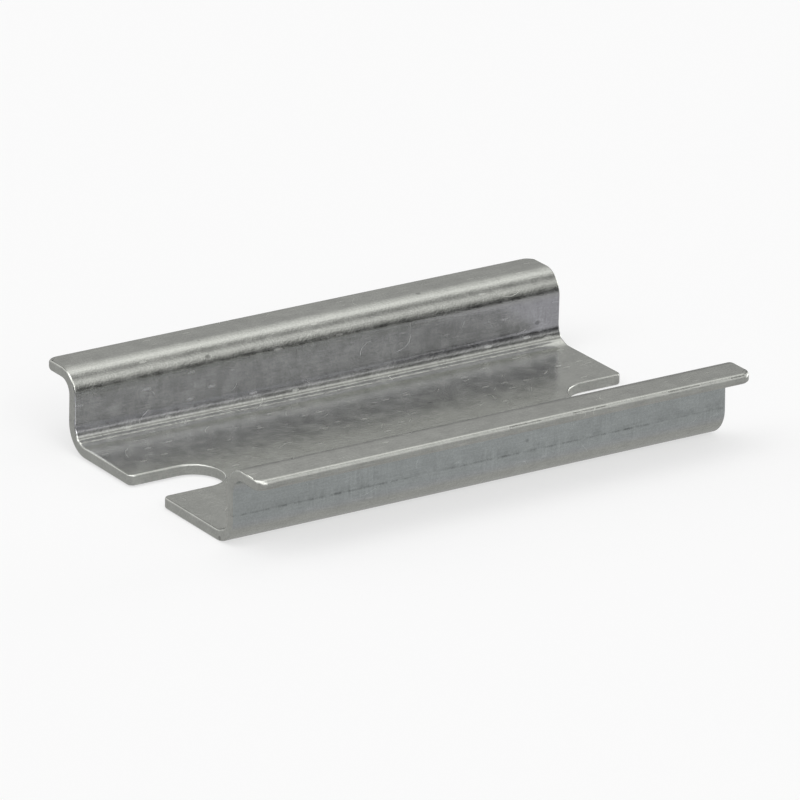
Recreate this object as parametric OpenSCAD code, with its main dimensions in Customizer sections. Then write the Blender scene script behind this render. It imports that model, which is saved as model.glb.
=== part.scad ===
// Short length of 35 mm top-hat mounting rail, pressed from one strip of
// zinc-plated steel, with an open fixing slot in each end.
// The rail runs along X, its channel opens upwards, and it lies on its web.
// Origin: centre of the web's underside. Lengths are in millimetres.

/* [Section] */
// Length of the rail
rail_length = 50.8; // [30:0.1:200]
// Width over the tips of the two lips
overall_width = 35; // [33:0.1:45]
// Width of the channel over the outside of its walls
channel_width = 27; // [18:0.1:28.5]
// Height from the underside of the web to the top of the lips
rail_height = 7.5; // [6.5:0.1:20]
// Thickness of the steel strip
sheet = 1; // [0.6:0.05:1.5]

/* [Bends] */
// Inside radius where the web turns up into each wall
base_bend_r = 1.7; // [1:0.1:2.4]
// Inside radius where each wall turns out into its lip
lip_bend_r = 1.3; // [0.5:0.1:1.6]
// Radius of the line that the bending punch leaves inside each base bend
crease_r = 0.7; // [0.5:0.05:0.9]
// Depth of that line
crease_depth = 0.08; // [0.02:0.01:0.15]

/* [Fixing slots] */
// Width of each slot
slot_width = 5.3; // [3:0.1:9]
// Depth of each slot from the rail's end to its round bottom
slot_depth = 7.5; // [5:0.1:14]

/* [Corners] */
// Corner radius of the lips, seen from above
lip_corner_r = 1; // [0.3:0.1:2]
// Corner radius of the web at each side of a slot's mouth
mouth_corner_r = 0.8; // [0.3:0.1:2]

/* [Hidden] */
$fn = 96;

// Outside radius of each bend
base_bend_out = base_bend_r + sheet;
lip_bend_out = lip_bend_r + sheet;
// Centres of the bends on the +Y side
base_bend_y = channel_width / 2 - base_bend_out;
lip_bend_y = channel_width / 2 + lip_bend_r;
lip_bend_z = rail_height - lip_bend_out;
// Centre of the punch's line, from the centre of the base bend
crease_reach = base_bend_r + crease_depth - crease_r;
// Distance from the middle of the rail to the centre of each slot's round end
slot_centre = rail_length / 2 - slot_depth + slot_width / 2;
// How far a cutting shape runs past what it cuts
over = 5;

// Quarter of a bent strip: the ring between two radii in one quadrant, which
// side_y and side_z choose as -1 or 1
module bend(inner, outer, side_y, side_z) {
    difference() {
        intersection() {
            circle(outer);
            translate([side_y < 0 ? -outer : 0, side_z < 0 ? -outer : 0]) square(outer);
        }
        circle(inner);
    }
}

// Section of the half on the +Y side, drawn with Y across and Z up
module half_section() {
    difference() {
        union() {
            square([base_bend_y, sheet]);
            translate([base_bend_y, base_bend_out]) bend(base_bend_r, base_bend_out, 1, -1);
            translate([channel_width / 2 - sheet, base_bend_out])
                square([sheet, lip_bend_z - base_bend_out]);
            translate([lip_bend_y, lip_bend_z]) bend(lip_bend_r, lip_bend_out, -1, 1);
            translate([lip_bend_y, rail_height - sheet])
                square([overall_width / 2 - lip_bend_y, sheet]);
        }
        translate([base_bend_y, base_bend_out])
            rotate(-45) translate([crease_reach, 0]) circle(crease_r);
    }
}

// The whole section
module section() {
    half_section();
    mirror([1, 0]) half_section();
}

// The bent strip before its ends are shaped
module strip() {
    rotate([90, 0, 90]) translate([0, 0, -rail_length / 2])
        linear_extrude(rail_length) section();
}

// Outline from above: a rectangle with the corner radius of the lips
module outline() {
    corner_x = rail_length / 2 - lip_corner_r;
    corner_y = overall_width / 2 - lip_corner_r;
    square([2 * corner_x, overall_width], center = true);
    square([rail_length, 2 * corner_y], center = true);
    for (sx = [-1, 1], sy = [-1, 1])
        translate([sx * corner_x, sy * corner_y]) circle(lip_corner_r);
}

// One slot from above, open towards +X: a round bottom, straight sides and a
// mouth that flares with the corner radius of the web
module slot() {
    end_x = rail_length / 2;
    flare_y = slot_width / 2 + mouth_corner_r;
    translate([slot_centre, 0]) circle(d = slot_width);
    translate([slot_centre, -slot_width / 2]) square([end_x - slot_centre + over, slot_width]);
    difference() {
        translate([end_x - mouth_corner_r, -flare_y]) square([mouth_corner_r + over, 2 * flare_y]);
        for (sy = [-1, 1]) translate([end_x - mouth_corner_r, sy * flare_y]) circle(mouth_corner_r);
    }
}

// Both slots, as cutters that pass through the web
module slots() {
    for (turn = [0, 180]) rotate(turn)
        translate([0, 0, -over]) linear_extrude(sheet + 2 * over) slot();
}

module rail() {
    color("silver") difference() {
        intersection() {
            strip();
            linear_extrude(rail_height) outline();
        }
        slots();
    }
}

rail();
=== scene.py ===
"""A short length of zinc-plated top-hat mounting rail, lying on its web."""

import math

import bpy
from mathutils import Matrix, Vector


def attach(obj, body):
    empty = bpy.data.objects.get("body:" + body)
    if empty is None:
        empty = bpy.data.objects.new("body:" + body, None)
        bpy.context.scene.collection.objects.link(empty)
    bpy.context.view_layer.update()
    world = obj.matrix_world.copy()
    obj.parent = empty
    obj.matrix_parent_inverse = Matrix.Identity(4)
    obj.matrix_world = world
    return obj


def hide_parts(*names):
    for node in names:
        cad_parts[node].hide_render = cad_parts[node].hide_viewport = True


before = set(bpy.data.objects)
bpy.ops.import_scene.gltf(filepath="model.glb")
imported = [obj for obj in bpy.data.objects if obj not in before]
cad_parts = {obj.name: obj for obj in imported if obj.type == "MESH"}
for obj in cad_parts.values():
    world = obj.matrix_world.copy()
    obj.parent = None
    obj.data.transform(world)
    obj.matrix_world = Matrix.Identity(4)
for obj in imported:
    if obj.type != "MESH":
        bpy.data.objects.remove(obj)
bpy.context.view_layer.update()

MM = 0.001

# ---------------------------------------------------------------- rail sizes
LENGTH = 50.8 * MM
OVERALL_WIDTH = 35.0 * MM
CHANNEL_WIDTH = 27.0 * MM
HEIGHT = 7.5 * MM
SHEET = 1.0 * MM
BASE_BEND = 1.7 * MM  # inside radius between web and wall
LIP_BEND = 1.3 * MM  # inside radius between wall and lip
SLOT_WIDTH = 5.3 * MM
SLOT_DEPTH = 7.5 * MM
LIP_CORNER = 1.0 * MM
MOUTH_CORNER = 0.6 * MM
PLUS_SLOT_ASIDE = -0.2 * MM
PLUS_SLOT_SHORT = 0.5 * MM
MINUS_SLOT_ASIDE = 0.55 * MM
CREASE_DEPTH = 0.08 * MM
CREASE_WIDTH = 0.82 * MM
WALL_LEAN = math.radians(1.0)  # spring of the press leaves the walls leaning in
LIP_DROOP = 0.1 * MM  # front lip hangs a little at one end
CORNER_LIFT = 0.2 * MM  # the crop left one corner of the web off the level
LIFT_FROM, LIFT_TO = -2.0 * MM, 9.0 * MM  # across the rail, where that lift grows
LIP_EDGE = 0.46 * MM  # rounding of the strip's two long edges
CUT_EDGE = 0.17 * MM  # rounding where the press cropped the strip
EDGE_FADE = 1.0 * MM  # the one rounding passes into the other over this width
SPARE = 1.0 * MM  # extra strip at the ends and lips, which the crop takes off
BEND_GUARD = 0.35 * MM  # flat kept in the section on each side of a bend
BEND_STEPS, PLAN_STEPS, RINGS = 30, 14, 17
EDGE_SEGMENTS = 5
SHARP_EDGE = math.radians(50)  # a fold steeper than this is rounded

# -------------------------------------------------------------------- finish
FLAT_ZINC = (0.670, 0.680, 0.635, 1.0)
WALL_ZINC = (0.655, 0.655, 0.690, 1.0)
OUTSIDE_ZINC = (0.635, 0.675, 0.670, 1.0)
CUT_STEEL = (0.680, 0.690, 0.650, 1.0)
ZINC_ROUGHNESS = (0.17, 0.25)  # bright patches, matt patches
CUT_ROUGHNESS = 0.42
PATCH_SHADE = (0.93, 1.03)
RELIEF = 0.004 * MM  # height of the fine relief for a value of one
WALL_FOOT_FADE = (1.4 * MM, 2.6 * MM)  # heights between which web passes into wall
WALL_HEAD_FADE = (6.3 * MM, 4.9 * MM)  # and lip into wall

# -------------------------------------------------------------------- studio
FLOOR_HALF = 0.6
FLOOR_GAP = 0.02 * MM
FLOOR_COLOUR = (0.9, 0.9, 0.9, 1.0)
FLOOR_GLOW = 0.40  # what the metal sees of the floor
FLOOR_LIFT = 0.6  # share of plain white in what the eye sees of it
STUDIO_LIGHTS = (
    # name, azimuth, elevation, tightness, strength
    ("behind, low", 147, 17, 20, 0.3),
    ("behind, high", 140, 43, 25, 0.55),
    ("overhead", 110, 60, 25, 0.95),
    ("front right", 40, 40, 25, 0.65),
    ("right edge", 90, 8, 20, 3.9),
    ("front", -5, 32, 20, 3.7),
    ("left", -90, 40, 16, 2.1),
    ("left, behind", -145, 24, 14, 1.1),
    ("back", 180, 15, 20, 0.5),
    ("top left", -60, 75, 12, 2.6),
)
CAMERA_AZIMUTH, CAMERA_ELEVATION, CAMERA_ROLL = 33.31, 20.99, 0.82
CAMERA_DISTANCE = 769.4 * MM
CAMERA_AIM = Vector((0.9, 1.1, 3.7)) * MM
LENS, SENSOR = 396.7, 36.0


# ------------------------------------------------------------- node helpers
def add_node(tree, kind, settings=None, **inputs):
    """One node, with its properties and the values or links of its inputs."""
    node = tree.nodes.new(kind)
    for name, value in (settings or {}).items():
        setattr(node, name, value)
    for name, value in inputs.items():
        plug(tree, node, name.replace("_", " "), value)
    return node


def plug(tree, node, name, value):
    """Links an output to an input, or sets the input's own value."""
    socket = node.inputs[name] if isinstance(name, int) else pick(node.inputs, name)
    if isinstance(value, bpy.types.NodeSocket):
        tree.links.new(value, socket)
    else:
        socket.default_value = value


def pick(sockets, name):
    """The enabled socket of that name."""
    for socket in sockets:
        if socket.enabled and socket.name == name:
            return socket
    raise KeyError(name)


def maths(tree, operation, a, b=None, clamp=False):
    """The result of one sum on values or links."""
    node = tree.nodes.new("ShaderNodeMath")
    node.operation = operation
    node.use_clamp = clamp
    for index, value in enumerate((a, b)):
        if value is not None:
            plug(tree, node, index, value)
    return node.outputs[0]


def vector_maths(tree, operation, a, b, out=0):
    """The result of one sum on two vectors."""
    node = tree.nodes.new("ShaderNodeVectorMath")
    node.operation = operation
    plug(tree, node, 0, a)
    plug(tree, node, 1, b)
    return node.outputs[out]


def smooth_between(tree, value, low, high, to_low=0.0, to_high=1.0):
    """Smooth step of a value between two limits."""
    node = tree.nodes.new("ShaderNodeMapRange")
    node.interpolation_type = "SMOOTHSTEP"
    for index, given in enumerate((value, low, high, to_low, to_high)):
        plug(tree, node, index, given)
    return node.outputs[0]


# ------------------------------------------------------------- rail geometry
def outline_object(name, corners):
    """A closed line of straight pieces, which carries the radius of each corner."""
    mesh = bpy.data.meshes.new(name)
    count = len(corners)
    mesh.from_pydata(
        [(a, b, 0.0) for a, b, _ in corners],
        [(i, (i + 1) % count) for i in range(count)],
        [],
    )
    radius = mesh.attributes.new("corner_radius", "FLOAT", "POINT")
    radius.data.foreach_set("value", [r for _, _, r in corners])
    line = bpy.data.objects.new(name, mesh)
    bpy.context.scene.collection.objects.link(line)
    return line


def section_corners():
    """Corners of the bent strip's section, as (across, up, radius). Extra points
    beside each bend keep the flats flat, and the lips are left over-wide to be
    trimmed."""
    trim = OVERALL_WIDTH / 2 + SPARE
    inner, outer = CHANNEL_WIDTH / 2 - SHEET, CHANNEL_WIDTH / 2
    web_end = inner - BASE_BEND
    wall_low, wall_high = SHEET + BASE_BEND, HEIGHT - LIP_BEND - SHEET
    lip_start = outer + LIP_BEND
    upper = [
        (web_end - BEND_GUARD, SHEET, 0.0),
        (inner, SHEET, BASE_BEND),
        (inner, wall_low + BEND_GUARD, 0.0),
        (inner, wall_high - BEND_GUARD, 0.0),
        (inner, HEIGHT, LIP_BEND + SHEET),
        (lip_start + BEND_GUARD, HEIGHT, 0.0),
        (trim, HEIGHT, 0.0),
    ]
    under = [
        (trim, HEIGHT - SHEET, 0.0),
        (lip_start + BEND_GUARD, HEIGHT - SHEET, 0.0),
        (outer, HEIGHT - SHEET, LIP_BEND),
        (outer, wall_high - BEND_GUARD, 0.0),
        (outer, wall_low + BEND_GUARD, 0.0),
        (outer, 0.0, BASE_BEND + SHEET),
        (web_end - BEND_GUARD, 0.0, 0.0),
    ]
    half = upper + under
    other = [(-a, b, r) for a, b, r in reversed(half)]
    return half + other


def plan_corners():
    """Corners of the rail seen from above, as (along, across, radius): the line
    on which the press crops the strip and punches both slots."""
    end, side, slot = LENGTH / 2, OVERALL_WIDTH / 2, SLOT_WIDTH / 2
    round_bottom = slot * 0.999  # a hair of flat is left between the two rounds
    corners = []
    # each end's direction, and how far the punch struck its slot off the middle
    # and short of full depth
    ends = ((1, PLUS_SLOT_ASIDE, PLUS_SLOT_SHORT), (-1, MINUS_SLOT_ASIDE, 0.0))
    for along, aside, short in ends:
        bottom = end - SLOT_DEPTH + short
        half = [
            (end, -side, LIP_CORNER),
            (end, -slot + aside * along, MOUTH_CORNER),
            (bottom, -slot + aside * along, round_bottom),
            (bottom, slot + aside * along, round_bottom),
            (end, slot + aside * along, MOUTH_CORNER),
            (end, side, LIP_CORNER),
        ]
        corners += [(a * along, b * along, r) for a, b, r in half]
    return corners


def rounded_outline_tree():
    """Geometry nodes group: a closed line of corners becomes a rounded curve."""
    tree = bpy.data.node_groups.new("Rounded outline", "GeometryNodeTree")
    face = tree.interface
    face.new_socket("Corners", in_out="INPUT", socket_type="NodeSocketGeometry")
    face.new_socket("Steps", in_out="INPUT", socket_type="NodeSocketInt")
    face.new_socket("Curve", in_out="OUTPUT", socket_type="NodeSocketGeometry")
    source = add_node(tree, "NodeGroupInput")
    curve = add_node(tree, "GeometryNodeMeshToCurve", Mesh=source.outputs["Corners"])
    radius = add_node(
        tree, "GeometryNodeInputNamedAttribute", {"data_type": "FLOAT"}, Name="corner_radius"
    )
    fillet = add_node(
        tree,
        "GeometryNodeFilletCurve",
        {"mode": "POLY"},
        Curve=curve.outputs[0],
        Count=source.outputs["Steps"],
        Radius=pick(radius.outputs, "Attribute"),
    )
    add_node(tree, "NodeGroupOutput", Curve=fillet.outputs[0])
    return tree


def pressed_rail_tree():
    """Geometry nodes tree: a strip bent along its section, swept along the rail,
    coined, sprung, then cropped and slotted to the plan."""
    tree = bpy.data.node_groups.new("Pressed rail", "GeometryNodeTree")
    face = tree.interface
    face.new_socket("Section", in_out="INPUT", socket_type="NodeSocketGeometry")
    for name, kind in (
        ("Plan", "Object"),
        ("Length", "Float"),
        ("Trim", "Float"),
        ("Height", "Float"),
        ("Rings", "Int"),
        ("Bend Steps", "Int"),
        ("Plan Steps", "Int"),
        ("Crease Centre", "Vector"),
        ("Crease Depth", "Float"),
        ("Crease Width", "Float"),
        ("Wall Foot", "Float"),
        ("Wall Lean", "Float"),
        ("Lip Start", "Float"),
        ("Lip Droop", "Float"),
        ("Corner Lift", "Float"),
        ("Lip Side", "Float"),
        ("Cut Edge Share", "Float"),
        ("Material", "Material"),
    ):
        face.new_socket(name, in_out="INPUT", socket_type=f"NodeSocket{kind}")
    face.new_socket("Rail", in_out="OUTPUT", socket_type="NodeSocketGeometry")
    source = add_node(tree, "NodeGroupInput")
    given = source.outputs
    outline = rounded_outline_tree()

    # sweep the section along the rail
    section = add_node(tree, "GeometryNodeGroup", {"node_tree": outline})
    plug(tree, section, "Corners", given["Section"])
    plug(tree, section, "Steps", given["Bend Steps"])
    reach = maths(tree, "ADD", maths(tree, "MULTIPLY", given["Length"], 0.5), given["Trim"])
    start = add_node(tree, "ShaderNodeCombineXYZ", X=maths(tree, "MULTIPLY", reach, -1.0))
    end = add_node(tree, "ShaderNodeCombineXYZ", X=reach)
    axis = add_node(
        tree, "GeometryNodeCurvePrimitiveLine", Start=start.outputs[0], End=end.outputs[0]
    )
    stations = add_node(
        tree, "GeometryNodeResampleCurve", Curve=axis.outputs[0], Count=given["Rings"]
    )
    # the sweep turns a profile's x to -Y and its y to -Z
    turned = add_node(
        tree,
        "GeometryNodeTransform",
        Geometry=section.outputs[0],
        Rotation=(0.0, 0.0, math.pi),
    )
    strip = add_node(
        tree,
        "GeometryNodeCurveToMesh",
        Curve=stations.outputs[0],
        Profile_Curve=turned.outputs[0],
        Fill_Caps=True,
    )

    # the line that the punch coins inside each base bend
    place = add_node(tree, "GeometryNodeInputPosition").outputs[0]
    parts = add_node(tree, "ShaderNodeSeparateXYZ", Vector=place)
    x, y, z = parts.outputs
    away = maths(tree, "ABSOLUTE", y)
    side = maths(tree, "SIGN", y)
    folded = add_node(tree, "ShaderNodeCombineXYZ", Y=away, Z=z).outputs[0]
    from_line = vector_maths(tree, "DISTANCE", folded, given["Crease Centre"], out=1)
    across = maths(tree, "DIVIDE", from_line, maths(tree, "MULTIPLY", given["Crease Width"], 0.5))
    dip = maths(tree, "SUBTRACT", 1.0, maths(tree, "MULTIPLY", across, across), clamp=True)
    dip = maths(tree, "MULTIPLY", dip, given["Crease Depth"])
    slope = math.sqrt(0.5)
    coin = add_node(
        tree,
        "ShaderNodeCombineXYZ",
        Y=maths(tree, "MULTIPLY", maths(tree, "MULTIPLY", dip, side), slope),
        Z=maths(tree, "MULTIPLY", dip, -slope),
    ).outputs[0]

    # the walls lean in, and the front lip hangs towards one end
    above = maths(tree, "MAXIMUM", maths(tree, "SUBTRACT", z, given["Wall Foot"]), 0.0)
    lean = maths(tree, "MULTIPLY", maths(tree, "MULTIPLY", above, given["Wall Lean"]), side)
    front = maths(tree, "MULTIPLY", y, -1.0)
    outward = maths(tree, "MAXIMUM", maths(tree, "SUBTRACT", front, given["Lip Start"]), 0.0)
    lip_span = maths(tree, "SUBTRACT", given["Lip Side"], given["Lip Start"])
    hang = maths(tree, "DIVIDE", outward, lip_span)
    near_middle = maths(tree, "MULTIPLY", given["Length"], 0.1)
    this_end = maths(tree, "MULTIPLY", given["Length"], -0.5)
    towards = smooth_between(tree, x, near_middle, this_end)
    droop = maths(tree, "MULTIPLY", maths(tree, "MULTIPLY", hang, towards), given["Lip Droop"])

    # the crop lifts one corner of the web, and less of the wall above it
    corner = maths(tree, "MULTIPLY", towards, smooth_between(tree, y, LIFT_FROM, LIFT_TO))
    low_wall = maths(tree, "MULTIPLY", given["Height"], 0.3)
    low_down = smooth_between(tree, z, given["Height"], low_wall)
    raised = maths(tree, "MULTIPLY", corner, low_down)
    lift = maths(tree, "MULTIPLY", raised, given["Corner Lift"])
    spring = add_node(
        tree,
        "ShaderNodeCombineXYZ",
        Y=maths(tree, "MULTIPLY", lean, -1.0),
        Z=maths(tree, "SUBTRACT", lift, droop),
    ).outputs[0]
    shaped = add_node(
        tree,
        "GeometryNodeSetPosition",
        Geometry=strip.outputs[0],
        Offset=vector_maths(tree, "ADD", coin, spring),
    )

    # crop the ends and punch the slots
    plan = add_node(tree, "GeometryNodeObjectInfo", Object=given["Plan"])
    plan_curve = add_node(tree, "GeometryNodeGroup", {"node_tree": outline})
    plug(tree, plan_curve, "Corners", plan.outputs["Geometry"])
    plug(tree, plan_curve, "Steps", given["Plan Steps"])
    low = add_node(
        tree, "ShaderNodeCombineXYZ", Z=maths(tree, "MULTIPLY", given["Height"], -1.0)
    )
    high = add_node(
        tree, "ShaderNodeCombineXYZ", Z=maths(tree, "MULTIPLY", given["Height"], 2.0)
    )
    stroke = add_node(
        tree, "GeometryNodeCurvePrimitiveLine", Start=low.outputs[0], End=high.outputs[0]
    )
    punch = add_node(
        tree,
        "GeometryNodeCurveToMesh",
        Curve=stroke.outputs[0],
        Profile_Curve=plan_curve.outputs[0],
        Fill_Caps=True,
    )
    cropped = add_node(
        tree, "GeometryNodeMeshBoolean", {"operation": "INTERSECT", "solver": "EXACT"}
    )
    for piece in (shaped, punch):
        tree.links.new(piece.outputs[0], pick(cropped.inputs, "Mesh"))

    # mark the cut faces, and weigh the edges that are rounded off
    facing = add_node(tree, "GeometryNodeInputNormal").outputs[0]
    turn = add_node(tree, "ShaderNodeSeparateXYZ", Vector=facing)
    upright = maths(tree, "LESS_THAN", maths(tree, "ABSOLUTE", turn.outputs[2]), 0.01)
    in_slot = maths(tree, "LESS_THAN", away, maths(tree, "MULTIPLY", given["Lip Start"], 0.5))
    on_tip = maths(tree, "GREATER_THAN", away, given["Lip Start"])
    on_end = maths(tree, "GREATER_THAN", maths(tree, "ABSOLUTE", turn.outputs[0]), 0.5)
    anywhere = maths(tree, "ADD", maths(tree, "ADD", in_slot, on_tip), on_end, clamp=True)
    marked = add_node(
        tree,
        "GeometryNodeStoreNamedAttribute",
        {"data_type": "FLOAT", "domain": "FACE"},
        Geometry=cropped.outputs[0],
        Name="cut_face",
        Value=maths(tree, "MULTIPLY", upright, anywhere),
    )
    angle = add_node(tree, "GeometryNodeInputMeshEdgeAngle").outputs[0]
    sharp = maths(tree, "GREATER_THAN", angle, SHARP_EDGE)
    long_edge = smooth_between(
        tree,
        away,
        maths(tree, "SUBTRACT", given["Lip Side"], EDGE_FADE),
        given["Lip Side"],
        given["Cut Edge Share"],
        1.0,
    )
    weighed = add_node(
        tree,
        "GeometryNodeStoreNamedAttribute",
        {"data_type": "FLOAT", "domain": "EDGE"},
        Geometry=marked.outputs[0],
        Name="bevel_weight_edge",
        Value=maths(tree, "MULTIPLY", sharp, long_edge),
    )
    smooth = add_node(
        tree, "GeometryNodeSetShadeSmooth", Geometry=weighed.outputs[0], Shade_Smooth=True
    )
    real = add_node(tree, "GeometryNodeRealizeInstances", Geometry=smooth.outputs[0])
    painted = add_node(
        tree, "GeometryNodeSetMaterial", Geometry=real.outputs[0], Material=given["Material"]
    )
    add_node(tree, "NodeGroupOutput", Rail=painted.outputs[0])
    return tree


def set_inputs(modifier, values):
    """Sets a geometry nodes modifier's inputs by the identifiers of their sockets."""
    for item in modifier.node_group.interface.items_tree:
        if item.in_out == "INPUT" and item.name in values:
            modifier[item.identifier] = values[item.name]


def press_rail(material):
    """The finished rail as a plain mesh."""
    section = outline_object("section_line", section_corners())
    plan = outline_object("plan_line", plan_corners())
    nodes = section.modifiers.new("Pressed rail", "NODES")
    nodes.node_group = pressed_rail_tree()
    bend_centre = CHANNEL_WIDTH / 2 - SHEET - BASE_BEND
    on_slope = BASE_BEND * math.sqrt(0.5)
    set_inputs(
        nodes,
        {
            "Plan": plan,
            "Length": LENGTH,
            "Trim": SPARE,
            "Height": HEIGHT,
            "Rings": RINGS,
            "Bend Steps": BEND_STEPS,
            "Plan Steps": PLAN_STEPS,
            "Crease Centre": (0.0, bend_centre + on_slope, SHEET + BASE_BEND - on_slope),
            "Crease Depth": CREASE_DEPTH,
            "Crease Width": CREASE_WIDTH,
            "Wall Foot": SHEET + BASE_BEND,
            "Wall Lean": math.tan(WALL_LEAN),
            "Lip Start": CHANNEL_WIDTH / 2 + LIP_BEND,
            "Lip Droop": LIP_DROOP,
            "Corner Lift": CORNER_LIFT,
            "Lip Side": OVERALL_WIDTH / 2,
            "Cut Edge Share": CUT_EDGE / LIP_EDGE,
            "Material": material,
        },
    )
    bevel = section.modifiers.new("Rounded edges", "BEVEL")
    bevel.limit_method = "WEIGHT"
    bevel.offset_type = "OFFSET"
    bevel.width = LIP_EDGE
    bevel.segments = EDGE_SEGMENTS
    bevel.use_clamp_overlap = False
    bevel.harden_normals = True
    seen = section.evaluated_get(bpy.context.evaluated_depsgraph_get())
    mesh = bpy.data.meshes.new_from_object(seen)
    mesh.name = "pressed_rail"
    for line in (section, plan):
        bpy.data.objects.remove(line)
    rail = bpy.data.objects.new("pressed_rail", mesh)
    bpy.context.scene.collection.objects.link(rail)
    return rail


# ----------------------------------------------------------------- materials
VALUE, VECTOR = "NodeSocketFloat", "NodeSocketVector"


def shader_group(name, inputs, outputs):
    """An empty shader group with named inputs and outputs."""
    tree = bpy.data.node_groups.new(name, "ShaderNodeTree")
    for label, kind, value in inputs:
        socket = tree.interface.new_socket(label, in_out="INPUT", socket_type=kind)
        socket.default_value = value
    for label, kind in outputs:
        tree.interface.new_socket(label, in_out="OUTPUT", socket_type=kind)
    return tree, add_node(tree, "NodeGroupInput"), add_node(tree, "NodeGroupOutput")


def noise(tree, where, scale, detail=2.0, roughness=0.5, seed=(0.0, 0.0, 0.0)):
    """Noise from 0 to 1 at a number of features a metre."""
    moved = vector_maths(tree, "ADD", where, seed)
    node = add_node(
        tree,
        "ShaderNodeTexNoise",
        {"noise_dimensions": "3D"},
        Vector=moved,
        Scale=scale,
        Detail=detail,
        Roughness=roughness,
    )
    return pick(node.outputs, "Fac")


def rolling_grain_group():
    """Fine lines that the rolling mill leaves along the strip."""
    tree, source, out = shader_group(
        "Rolling grain",
        [
            ("Place", VECTOR, (0, 0, 0)),
            ("Lines", VALUE, 9000.0),
            ("Stretch", VALUE, 0.06),
        ],
        [("Grain", VALUE)],
    )
    stretch = add_node(tree, "ShaderNodeCombineXYZ", X=source.outputs["Stretch"], Y=1.0, Z=1.0)
    where = vector_maths(tree, "MULTIPLY", source.outputs["Place"], stretch.outputs[0])
    fine = noise(tree, where, source.outputs["Lines"], 3.0, 0.6)
    plug(tree, out, "Grain", fine)
    return tree


def zinc_mottle_group():
    """Matt and bright patches of the zinc layer, and its fine sparkle."""
    tree, source, out = shader_group(
        "Zinc mottle",
        [
            ("Place", VECTOR, (0, 0, 0)),
            ("Patches", VALUE, 700.0),
            ("Sparkle", VALUE, 5200.0),
        ],
        [("Patch", VALUE), ("Speckle", VALUE)],
    )
    where = source.outputs["Place"]
    patch = noise(tree, where, source.outputs["Patches"], 4.0, 0.6, (0.3, 0.1, 0.7))
    plug(tree, out, "Patch", smooth_between(tree, patch, 0.32, 0.68))
    spark = noise(tree, where, source.outputs["Sparkle"], 1.0, 0.5, (0.9, 0.4, 0.2))
    plug(tree, out, "Speckle", smooth_between(tree, spark, 0.3, 0.7))
    return tree


def flecks_group():
    """Short nicks, longer along the rail than across it."""
    tree, source, out = shader_group(
        "Flecks",
        [
            ("Place", VECTOR, (0, 0, 0)),
            ("Scale", VALUE, 1500.0),
            ("Length", VALUE, 0.3),
            ("Amount", VALUE, 0.3),
            ("Size", VALUE, 0.25),
        ],
        [("Mask", VALUE)],
    )
    stretch = add_node(tree, "ShaderNodeCombineXYZ", X=source.outputs["Length"], Y=1.0, Z=1.0)
    where = vector_maths(tree, "MULTIPLY", source.outputs["Place"], stretch.outputs[0])
    cells = add_node(
        tree,
        "ShaderNodeTexVoronoi",
        {"feature": "F1", "voronoi_dimensions": "3D"},
        Vector=where,
        Scale=source.outputs["Scale"],
    )
    inside = maths(tree, "MULTIPLY", source.outputs["Size"], 0.4)
    near = smooth_between(tree, pick(cells.outputs, "Distance"), source.outputs["Size"], inside)
    chosen = add_node(tree, "ShaderNodeSeparateColor", Color=pick(cells.outputs, "Color"))
    limit = maths(tree, "SUBTRACT", 1.0, source.outputs["Amount"])
    kept = maths(tree, "GREATER_THAN", chosen.outputs[0], limit)
    plug(tree, out, "Mask", maths(tree, "MULTIPLY", near, kept))
    return tree


def scratches_group():
    """A few thin curved scratches, broken into short runs."""
    tree, source, out = shader_group(
        "Scratches",
        [
            ("Place", VECTOR, (0, 0, 0)),
            ("Curl", VALUE, 260.0),
            ("Width", VALUE, 0.004),
            ("Runs", VALUE, 420.0),
            ("Rarity", VALUE, 0.6),
        ],
        [("Mask", VALUE)],
    )
    where = source.outputs["Place"]
    lay = noise(tree, where, source.outputs["Curl"], 0.0, 0.5, (0.21, 0.53, 0.13))
    off = maths(tree, "ABSOLUTE", maths(tree, "SUBTRACT", lay, 0.5))
    line = smooth_between(tree, off, source.outputs["Width"], 0.0)
    runs = noise(tree, where, source.outputs["Runs"], 1.0, 0.5, (0.71, 0.17, 0.39))
    more = maths(tree, "ADD", source.outputs["Rarity"], 0.05)
    kept = smooth_between(tree, runs, source.outputs["Rarity"], more)
    plug(tree, out, "Mask", maths(tree, "MULTIPLY", line, kept))
    return tree


def drag_marks_group():
    """Upright marks where the press drags the walls past the die, in patches."""
    tree, source, out = shader_group(
        "Drag marks",
        [
            ("Place", VECTOR, (0, 0, 0)),
            ("Marks", VALUE, 4200.0),
            ("Stretch", VALUE, 0.09),
            ("Patches", VALUE, 330.0),
        ],
        [("Mask", VALUE)],
    )
    stretch = add_node(tree, "ShaderNodeCombineXYZ", X=1.0, Y=1.0, Z=source.outputs["Stretch"])
    where = vector_maths(tree, "MULTIPLY", source.outputs["Place"], stretch.outputs[0])
    marks = noise(tree, where, source.outputs["Marks"], 2.0, 0.55, (0.4, 0.8, 0.1))
    rubbed = source.outputs["Patches"]
    patch = noise(tree, source.outputs["Place"], rubbed, 1.0, 0.5, (0.1, 0.6, 0.3))
    strong = smooth_between(tree, patch, 0.42, 0.66)
    centred = maths(tree, "SUBTRACT", marks, 0.5)
    plug(tree, out, "Mask", maths(tree, "MULTIPLY", centred, strong))
    return tree


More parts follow.
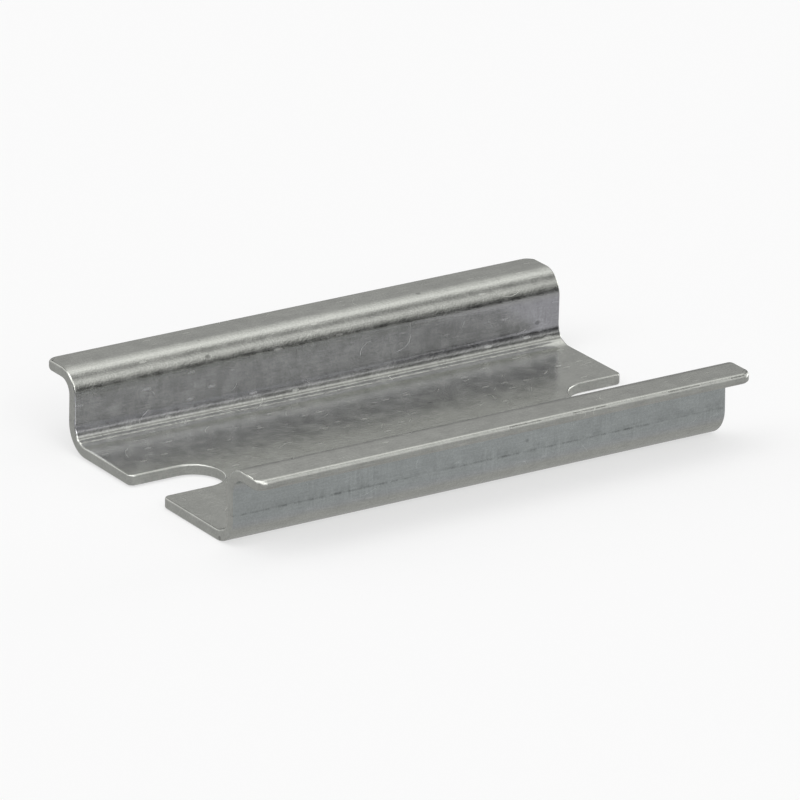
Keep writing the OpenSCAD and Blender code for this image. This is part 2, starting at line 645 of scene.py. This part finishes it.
def die_line_group():
    """The rubbed line that the die's edge leaves along the outside of a wall: a dark broken core,
    with patchy painted shade above it for the rail's shadow on the floor that the wall would
    mirror."""
    tree, source, out = shader_group(
        "Die line",
        [
            ("Place", VECTOR, (0, 0, 0)),
            ("Height", VALUE, 3.0 * MM),
            ("Thickness", VALUE, 0.16 * MM),
            ("Smudge Reach", VALUE, 1.1 * MM),
            ("Outside", VALUE, 13.0 * MM),
            ("Wander", VALUE, 300.0),
            ("Dashes", VALUE, 1100.0),
            ("Runs", VALUE, 120.0),
            ("Clouds", VALUE, 620.0),
        ],
        [("Line", VALUE), ("Painted Shade", VALUE)],
    )
    where = source.outputs["Place"]
    parts = add_node(tree, "ShaderNodeSeparateXYZ", Vector=where)
    x, y, z = parts.outputs
    outer = maths(tree, "GREATER_THAN", maths(tree, "ABSOLUTE", y), source.outputs["Outside"])
    along = add_node(tree, "ShaderNodeCombineXYZ", X=x, Y=maths(tree, "SIGN", y)).outputs[0]
    wander = maths(tree, "SUBTRACT", noise(tree, along, source.outputs["Wander"], 2.0, 0.6), 0.5)
    sway = maths(tree, "MULTIPLY", wander, source.outputs["Thickness"])
    level = maths(tree, "ADD", source.outputs["Height"], sway)
    above = maths(tree, "SUBTRACT", z, level)
    core = smooth_between(tree, maths(tree, "ABSOLUTE", above), source.outputs["Thickness"], 0.0)
    dashes = noise(tree, along, source.outputs["Dashes"], 3.0, 0.6, (0.5, 0.2, 0.9))
    dashes = smooth_between(tree, dashes, 0.38, 0.6)
    runs = noise(tree, along, source.outputs["Runs"], 1.0, 0.5, (0.3, 0.9, 0.2))
    runs = smooth_between(tree, runs, 0.3, 0.6)
    broken = maths(tree, "MULTIPLY", dashes, runs)
    line = maths(tree, "MULTIPLY", maths(tree, "MULTIPLY", core, outer), broken)
    # painted shade: darkest just above the line and fading upwards, made patchy by clouds,
    # standing in for the mirrored floor shadow
    fade = smooth_between(tree, above, source.outputs["Smudge Reach"], 0.0)
    over = maths(tree, "GREATER_THAN", above, 0.0)
    cloud = noise(tree, where, source.outputs["Clouds"], 4.0, 0.65, (0.2, 0.2, 0.6))
    cloud = smooth_between(tree, cloud, 0.4, 0.62)
    patchy = maths(tree, "MULTIPLY", cloud, outer)
    painted_shade = maths(tree, "MULTIPLY", maths(tree, "MULTIPLY", fade, over), patchy)
    plug(tree, out, "Line", line)
    plug(tree, out, "Painted Shade", painted_shade)
    return tree


def mix_colour(tree, share, a, b, blend="MIX"):
    """The first colour, passing into the second by a share."""
    node = tree.nodes.new("ShaderNodeMix")
    node.data_type = "RGBA"
    node.blend_type = blend
    for index, value in ((0, share), (6, a), (7, b)):
        plug(tree, node, index, value)
    return node.outputs[2]


def mix_value(tree, share, a, b):
    """The first value, passing into the second by a share."""
    node = tree.nodes.new("ShaderNodeMix")
    node.data_type = "FLOAT"
    for index, value in ((0, share), (2, a), (3, b)):
        plug(tree, node, index, value)
    return node.outputs[0]


def use_group(tree, group, place, **values):
    """Places a shader group and gives it the surface's own coordinates."""
    node = add_node(tree, "ShaderNodeGroup", {"node_tree": group})
    plug(tree, node, "Place", place)
    for name, value in values.items():
        plug(tree, node, name.replace("_", " "), value)
    return node.outputs


def scaled(tree, value, factor, middle=0.0):
    """A value about its middle, times a factor."""
    return maths(tree, "MULTIPLY", maths(tree, "SUBTRACT", value, middle), factor)


def total(tree, first, *others):
    """The sum of several values."""
    for other in others:
        first = maths(tree, "ADD", first, other)
    return first


def zinc_material():
    """Satin zinc plating, faintly tinted by its passivation."""
    material = bpy.data.materials.new("Satin zinc plating")
    material.use_nodes = True
    tree = material.node_tree
    shader = tree.nodes["Principled BSDF"]
    place = add_node(tree, "ShaderNodeTexCoord").outputs["Object"]
    parts = add_node(tree, "ShaderNodeSeparateXYZ", Vector=place)
    y, z = parts.outputs["Y"], parts.outputs["Z"]
    cut = add_node(tree, "ShaderNodeAttribute", {"attribute_name": "cut_face"}).outputs["Fac"]
    sheet_face = maths(tree, "SUBTRACT", 1.0, cut)

    grain = use_group(tree, rolling_grain_group(), place)["Grain"]
    patch, speckle = use_group(tree, zinc_mottle_group(), place)[:2]
    flecks = flecks_group()
    nicks = use_group(tree, flecks, place)["Mask"]
    pits = use_group(
        tree, flecks, place, Scale=620.0, Length=0.7, Amount=0.06, Size=0.17
    )["Mask"]
    scratches = use_group(tree, scratches_group(), place)["Mask"]
    drag = use_group(tree, drag_marks_group(), place)["Mask"]
    # the die line is a real mark; the shade above it is painted shade
    die_line, painted_shade = use_group(tree, die_line_group(), place)[:2]

    # where the walls are, and which of their faces look outwards
    over_foot = smooth_between(tree, z, *WALL_FOOT_FADE)
    under_head = smooth_between(tree, z, *WALL_HEAD_FADE)
    wall = maths(tree, "MULTIPLY", maths(tree, "MULTIPLY", over_foot, under_head), sheet_face)
    away = maths(tree, "ABSOLUTE", y)
    outside = maths(tree, "GREATER_THAN", away, CHANNEL_WIDTH / 2 - SHEET / 2)
    marks = maths(tree, "MULTIPLY", drag, wall)

    # colour: greenish grey on the flats, bluer on the walls
    colour = mix_colour(tree, wall, FLAT_ZINC, WALL_ZINC)
    colour = mix_colour(tree, maths(tree, "MULTIPLY", outside, wall), colour, OUTSIDE_ZINC)
    colour = mix_colour(tree, cut, colour, CUT_STEEL)
    shade = total(
        tree,
        mix_value(tree, patch, *PATCH_SHADE),
        scaled(tree, grain, 0.30, 0.5),
        scaled(tree, speckle, 0.10, 0.5),
        scaled(tree, nicks, 0.16),
        scaled(tree, scratches, 0.35),
        scaled(tree, pits, -0.38),
        scaled(tree, marks, 0.45),
        scaled(tree, die_line, -0.36),
        # painted shade on the outer walls above the die line, for the mirrored floor shadow
        scaled(tree, painted_shade, -0.13),
    )
    grey = add_node(tree, "ShaderNodeCombineXYZ", X=shade, Y=shade, Z=shade).outputs[0]
    plug(tree, shader, "Base Color", mix_colour(tree, 1.0, colour, grey, "MULTIPLY"))

    # gloss: matt where the zinc is patchy, rubbed or cut
    rough = total(
        tree,
        mix_value(tree, patch, *ZINC_ROUGHNESS),
        scaled(tree, grain, 0.12, 0.5),
        scaled(tree, nicks, 0.12),
        scaled(tree, scratches, 0.2),
        scaled(tree, die_line, 0.18),
    )
    plug(tree, shader, "Roughness", mix_value(tree, cut, rough, CUT_ROUGHNESS))
    shader.inputs["Metallic"].default_value = 1.0

    # fine relief, over a slow wave that runs along the sheet
    slow = add_node(tree, "ShaderNodeCombineXYZ", X=0.4, Y=1.0, Z=1.0).outputs[0]
    wave = noise(tree, vector_maths(tree, "MULTIPLY", place, slow), 260.0, 2.0, 0.5)
    height = total(
        tree,
        scaled(tree, grain, 0.9),
        scaled(tree, speckle, 0.9),
        scaled(tree, wave, 6.0),
        scaled(tree, marks, 0.8),
        scaled(tree, nicks, -0.8),
        scaled(tree, scratches, -1.0),
        scaled(tree, pits, -2.0),
        scaled(tree, die_line, -1.0),
    )
    bump = add_node(tree, "ShaderNodeBump", Strength=1.0, Distance=RELIEF, Height=height)
    plug(tree, shader, "Normal", bump.outputs[0])
    return material


# --------------------------------------------------------------------- scene
def floor_material():
    """White to the eye with a light shadow on it; an even pale glow in the metal."""
    material = bpy.data.materials.new("Pale floor")
    material.use_nodes = True
    tree = material.node_tree
    tree.nodes.clear()
    rays = add_node(tree, "ShaderNodeLightPath").outputs
    matt = add_node(tree, "ShaderNodeBsdfDiffuse", Color=FLOOR_COLOUR)
    white = add_node(tree, "ShaderNodeEmission", Strength=1.0)
    pale = add_node(tree, "ShaderNodeEmission", Strength=FLOOR_GLOW)
    seen = matt.outputs[0]
    for share, shader in (
        (maths(tree, "MULTIPLY", rays["Is Camera Ray"], FLOOR_LIFT), white),
        (rays["Is Glossy Ray"], pale),
    ):
        mixed = add_node(tree, "ShaderNodeMixShader")
        for index, value in enumerate((share, seen, shader.outputs[0])):
            plug(tree, mixed, index, value)
        seen = mixed.outputs[0]
    add_node(tree, "ShaderNodeOutputMaterial", Surface=seen)
    return material


def pale_floor():
    """A pale matt floor that keeps the rail's shadow and runs out into white."""
    reach = FLOOR_HALF
    mesh = bpy.data.meshes.new("floor")
    mesh.from_pydata(
        [(-reach, -reach, 0), (reach, -reach, 0), (reach, reach, 0), (-reach, reach, 0)],
        [],
        [(0, 1, 2, 3)],
    )
    mesh.materials.append(floor_material())
    floor = bpy.data.objects.new("floor", mesh)
    floor.location.z = -FLOOR_GAP
    bpy.context.scene.collection.objects.link(floor)


def soft_light_group():
    """A round soft light, brightest in one direction and fading around it."""
    tree, source, out = shader_group(
        "Soft light",
        [
            ("Looking", VECTOR, (0, 0, 1)),
            ("Direction", VECTOR, (0, 0, 1)),
            ("Tightness", VALUE, 20.0),
            ("Strength", VALUE, 1.0),
        ],
        [("Light", VALUE)],
    )
    looking, direction = source.outputs["Looking"], source.outputs["Direction"]
    towards = vector_maths(tree, "DOT_PRODUCT", looking, direction, out=1)
    short_of = maths(tree, "SUBTRACT", towards, 1.0)
    power = maths(tree, "MULTIPLY", short_of, source.outputs["Tightness"])
    fade = maths(tree, "EXPONENT", power)
    plug(tree, out, "Light", maths(tree, "MULTIPLY", fade, source.outputs["Strength"]))
    return tree


def studio_world(lights):
    """Soft lights around the bench; the eye sees plain white behind them."""
    world = bpy.data.worlds.new("Soft studio")
    world.use_nodes = True
    bpy.context.scene.world = world
    tree = world.node_tree
    looking = add_node(tree, "ShaderNodeTexCoord").outputs["Generated"]
    group = soft_light_group()
    shining = []
    for name, azimuth, elevation, tightness, strength in lights:
        turn, rise = math.radians(azimuth), math.radians(elevation)
        node = add_node(tree, "ShaderNodeGroup", {"node_tree": group, "label": name})
        plug(tree, node, "Looking", looking)
        across, away = math.sin(turn) * math.cos(rise), -math.cos(turn) * math.cos(rise)
        plug(tree, node, "Direction", (across, away, math.sin(rise)))
        plug(tree, node, "Tightness", tightness)
        plug(tree, node, "Strength", strength)
        shining.append(node.outputs["Light"])
    eye = add_node(tree, "ShaderNodeLightPath").outputs["Is Camera Ray"]
    backdrop = tree.nodes["Background"]
    plug(tree, backdrop, "Color", (1.0, 1.0, 1.0, 1.0))
    plug(tree, backdrop, "Strength", mix_value(tree, eye, total(tree, *shining), 1.0))


def place_camera(azimuth, elevation, roll, distance, aim, lens):
    """A long lens in front of the rail and to its left, looking down at it."""
    a, e = math.radians(azimuth), math.radians(elevation)
    look = Vector((math.sin(a) * math.cos(e), math.cos(a) * math.cos(e), -math.sin(e)))
    where = -look * distance
    forward = (aim - where).normalized()
    level = Vector((math.cos(a), -math.sin(a), 0.0))
    up = level.cross(forward).normalized()
    right = forward.cross(up)
    tip = math.radians(roll)
    right, up = (
        right * math.cos(tip) + up * math.sin(tip),
        up * math.cos(tip) - right * math.sin(tip),
    )
    data = bpy.data.cameras.new("camera")
    data.lens, data.sensor_width = lens, SENSOR
    data.clip_start, data.clip_end = 0.05, 5.0
    camera = bpy.data.objects.new("camera", data)
    camera.matrix_world = Matrix.Translation(where) @ Matrix(
        (right, up, -forward)
    ).transposed().to_4x4()
    bpy.context.scene.collection.objects.link(camera)
    bpy.context.scene.camera = camera


rail = press_rail(zinc_material())
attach(rail, "root")
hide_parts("rail")

pale_floor()
studio_world(STUDIO_LIGHTS)
place_camera(
    CAMERA_AZIMUTH, CAMERA_ELEVATION, CAMERA_ROLL, CAMERA_DISTANCE, CAMERA_AIM, LENS
)
bpy.context.scene.view_settings.view_transform = "Standard"
